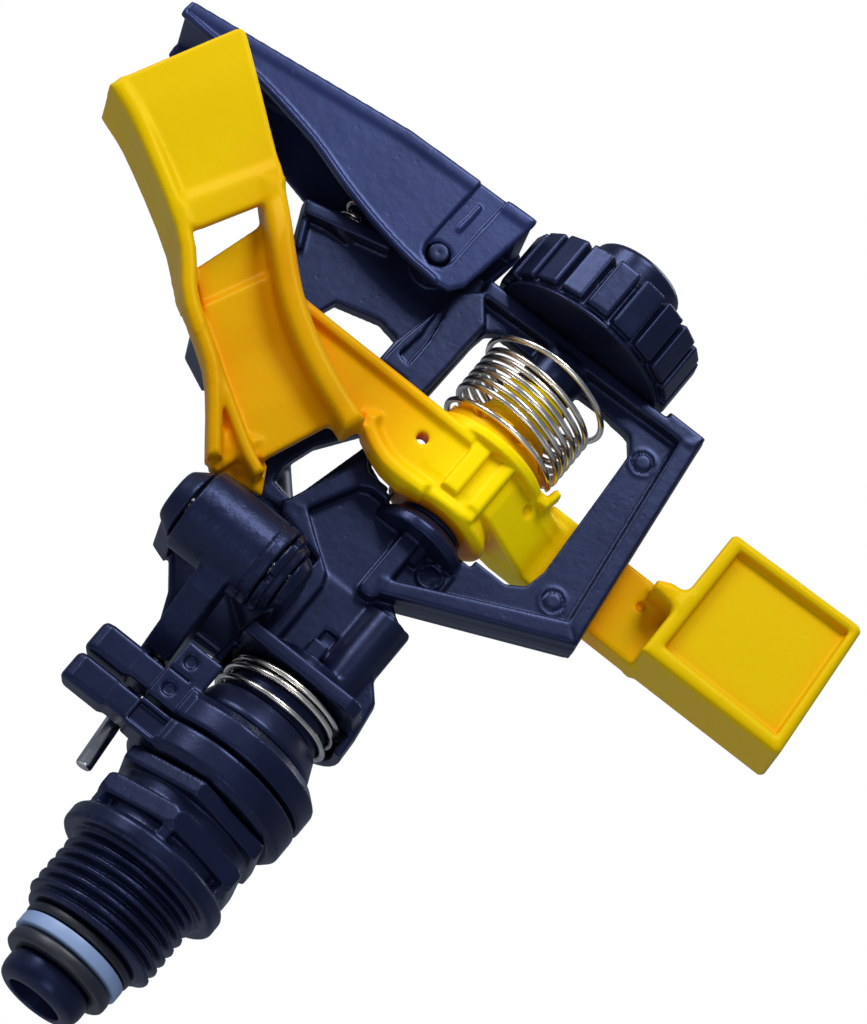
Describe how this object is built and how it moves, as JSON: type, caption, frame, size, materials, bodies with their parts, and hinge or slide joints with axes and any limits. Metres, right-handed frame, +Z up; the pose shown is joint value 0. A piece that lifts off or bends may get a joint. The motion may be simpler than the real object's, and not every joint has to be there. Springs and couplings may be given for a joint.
{
  "type": "impact sprinkler",
  "caption": "Part-circle impact sprinkler: threaded inlet, swivelling head with a bridge, sprung swing arm with spoon and counterweight, trip lever, collars, deflector flap and range knob.",
  "frame": {"origin": "on the inlet axis, in the plane of the flange's underside, where the thread ends", "axes": "+Z up along the inlet axis, -X toward the nozzle and spoon, +X toward the counterweight, the bridge lies in the XZ plane"},
  "size_m": [0.1298, 0.0318, 0.1366],
  "materials": {
    "black_plastic": "satin moulded black acetal with a blue cast",
    "yellow_plastic": "satin moulded yellow acetal",
    "spring_steel": "drawn stainless spring wire",
    "steel": "ground stainless pin",
    "seal_rubber": "smooth moulded rubber",
    "grey_washer": "pale grey low-friction plastic"
  },
  "bodies": {
    "inlet": {"inlet_nipple": "black_plastic", "collar_retainer": "black_plastic", "spring_sleeve": "black_plastic"},
    "upper_collar": {"upper_trip_collar": "black_plastic"},
    "lower_collar": {"lower_trip_collar": "black_plastic"},
    "head": {"bearing_stem": "black_plastic", "upper_seal_washer": "seal_rubber", "friction_washer": "grey_washer", "lower_seal_washer": "seal_rubber", "bearing_spring": "spring_steel", "head_casting": "black_plastic", "nozzle_insert": "black_plastic", "arm_pivot_pin": "steel", "lower_thrust_washer": "black_plastic", "upper_thrust_washer": "black_plastic", "arm_spring": "spring_steel", "trip_axle": "steel", "trip_end_cap": "black_plastic", "trip_spring": "spring_steel", "deflector_pin": "black_plastic", "deflector_spring": "spring_steel", "knob_screw": "steel"},
    "arm": {"swing_arm": "yellow_plastic", "arm_bush": "grey_washer"},
    "trip": {"trip_lever": "black_plastic", "trip_pin": "steel"},
    "flap": {"deflector_flap": "black_plastic"},
    "knob": {"range_knob": "black_plastic"}
  },
  "joints": [
    {"name": "head_swivel", "type": "hinge", "parent": "inlet", "child": "head", "pos_m": [0, 0, 0], "axis": [0, 0, 1], "range_deg": [-240, 0]},
    {"name": "upper_collar_turn", "type": "hinge", "parent": "inlet", "child": "upper_collar", "pos_m": [0, 0, 0.021], "axis": [0, 0, 1], "range_deg": [0, 35]},
    {"name": "lower_collar_turn", "type": "hinge", "parent": "inlet", "child": "lower_collar", "pos_m": [0, 0, 0.0158], "axis": [0, 0, 1], "range_deg": [0, 35]},
    {"name": "arm_swing", "type": "hinge", "parent": "head", "child": "arm", "pos_m": [0, 0, 0.075], "axis": [0, 0, 1], "range_deg": [0, 90], "stiffness_Nm_per_rad": 0.01},
    {"name": "trip_rock", "type": "hinge", "parent": "head", "child": "trip", "pos_m": [-0.018, -0.011, 0.0426], "axis": [1, 0, 0], "range_deg": [0, 14]},
    {"name": "knob_turn", "type": "hinge", "parent": "head", "child": "knob", "pos_m": [0, 0, 0.104], "axis": [0, 0, 1], "range_deg": [0, 320]},
    {"name": "deflector_tilt", "type": "hinge", "parent": "head", "child": "flap", "pos_m": [-0.023, 0, 0.0956], "axis": [0, 1, 0], "range_deg": [-8, 0]}
  ],
  "couplings": [
    {"joint": "deflector_tilt", "follows": "knob_turn", "ratio": -0.025}
  ]
}
